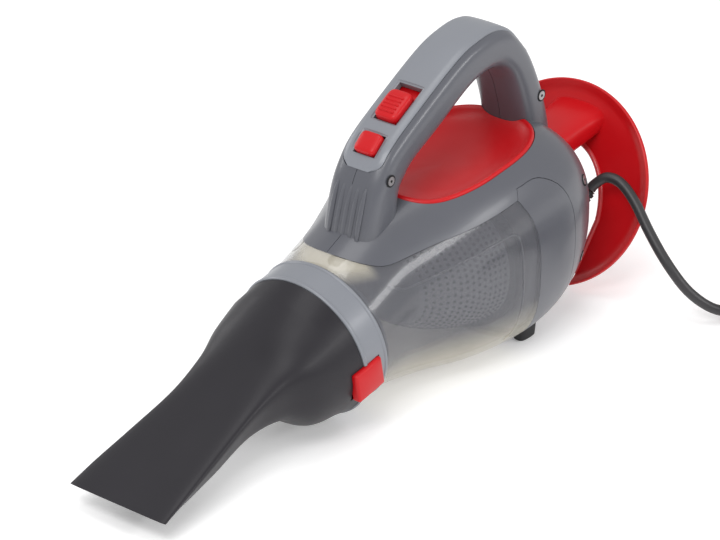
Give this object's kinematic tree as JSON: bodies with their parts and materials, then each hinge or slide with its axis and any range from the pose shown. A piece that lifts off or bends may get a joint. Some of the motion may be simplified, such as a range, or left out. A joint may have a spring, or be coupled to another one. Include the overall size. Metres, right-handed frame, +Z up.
{
  "type": "handheld vacuum",
  "caption": "Corded car hand vacuum with slanted spout, ringed smoky dust bowl, arched handle over a scooped deck, and a flange that its coiled cord winds behind.",
  "frame": {"origin": "on the floor, below the middle of the vacuum's length", "axes": "+Z up; +X towards the cord end, the nose to -X; the side with the cord is -Y"},
  "size_m": [0.4705, 0.2976, 0.1767],
  "materials": {
    "charcoal": "satin",
    "light_grey": "satin",
    "mid_grey": "satin",
    "red": "semi-gloss",
    "smoke_clear": "polished",
    "filter_cloth": "matte",
    "black": "matte",
    "soft_black": "matte",
    "steel": "satin",
    "nickel": "polished"
  },
  "bodies": {
    "housing": {"housing_right": "mid_grey", "housing_left": "mid_grey", "belly_cover": "mid_grey", "deck": "red", "handle_cover": "light_grey", "switch_block": "black", "button_spring": "steel", "motor_bulkhead": "black", "motor_plate": "black", "motor_can": "steel", "motor_end_cap": "black", "cord_flange": "red", "foot_right": "soft_black", "foot_left": "soft_black", "strain_relief": "soft_black", "cord": "soft_black", "cord_tail": "soft_black", "cord_coil": "soft_black", "cord_tie": "light_grey", "plug_relief": "soft_black", "plug_body": "black", "plug_cap": "black"},
    "bowl": {"dust_bowl": "smoke_clear", "bowl_ring": "light_grey", "inlet_plate": "black", "flap_pin": "steel"},
    "nozzle": {"nozzle": "charcoal"},
    "latch_right": {"latch_right": "red"},
    "latch_left": {"latch_left": "red"},
    "flap": {"flap_valve": "soft_black"},
    "filter": {"prefilter_cage": "mid_grey", "pleated_filter": "filter_cloth", "filter_frame": "black", "filter_seal": "soft_black"},
    "rotor": {"impeller": "black", "motor_shaft": "steel"},
    "switch": {"power_switch": "red"},
    "button": {"release_button": "red"},
    "catch": {"bowl_catch": "black"},
    "plug_tip": {"plug_tip": "nickel"},
    "contact_right": {"plug_contact_right": "nickel"},
    "contact_left": {"plug_contact_left": "nickel"}
  },
  "joints": [
    {"name": "bowl_lift_off", "type": "slide", "parent": "housing", "child": "bowl", "axis": [-0.9397, 0, -0.342], "range_m": [0, 0.06]},
    {"name": "nozzle_pull_off", "type": "slide", "parent": "bowl", "child": "nozzle", "axis": [-0.9816, 0, -0.1908], "range_m": [0, 0.04]},
    {"name": "latch_right_press", "type": "slide", "parent": "nozzle", "child": "latch_right", "axis": [0, 1, 0], "range_m": [0, 0.002], "stiffness_N_per_m": 600, "springref_m": -0.001},
    {"name": "latch_left_press", "type": "slide", "parent": "nozzle", "child": "latch_left", "axis": [0, -1, 0], "range_m": [0, 0.002], "stiffness_N_per_m": 600, "springref_m": -0.001},
    {"name": "flap_swing", "type": "hinge", "parent": "bowl", "child": "flap", "pos_m": [-0.03642, 0, 0.06513], "axis": [0, -1, 0], "range_deg": [0, 38]},
    {"name": "filter_unseat", "type": "slide", "parent": "bowl", "child": "filter", "axis": [-1, 0, 0], "range_m": [0, 0.01]},
    {"name": "rotor_spin", "type": "hinge", "parent": "housing", "child": "rotor", "pos_m": [0.09, 0, 0.057], "axis": [1, 0, 0], "continuous": true},
    {"name": "switch_slide", "type": "slide", "parent": "housing", "child": "switch", "axis": [0.8737, 0, 0.4866], "range_m": [0, 0.006]},
    {"name": "button_press", "type": "slide", "parent": "housing", "child": "button", "axis": [0.6282, 0, -0.7781], "range_m": [0, 0.003], "stiffness_N_per_m": 500, "springref_m": -0.001, "deforming": ["button_spring"]},
    {"name": "catch_drop", "type": "slide", "parent": "housing", "child": "catch", "axis": [-0.4789, 0, -0.8779], "range_m": [0, 0.003]},
    {"name": "plug_tip_press", "type": "slide", "parent": "housing", "child": "plug_tip", "axis": [1, 0, 0], "range_m": [0, 0.001], "stiffness_N_per_m": 700, "springref_m": -0.002},
    {"name": "contact_right_press", "type": "slide", "parent": "housing", "child": "contact_right", "axis": [0, 1, 0], "range_m": [0, 0.0012], "stiffness_N_per_m": 700, "springref_m": -0.001},
    {"name": "contact_left_press", "type": "slide", "parent": "housing", "child": "contact_left", "axis": [0, -1, 0], "range_m": [0, 0.0012], "stiffness_N_per_m": 700, "springref_m": -0.001}
  ],
  "couplings": [
    {"joint": "catch_drop", "follows": "button_press", "ratio": 1}
  ]
}
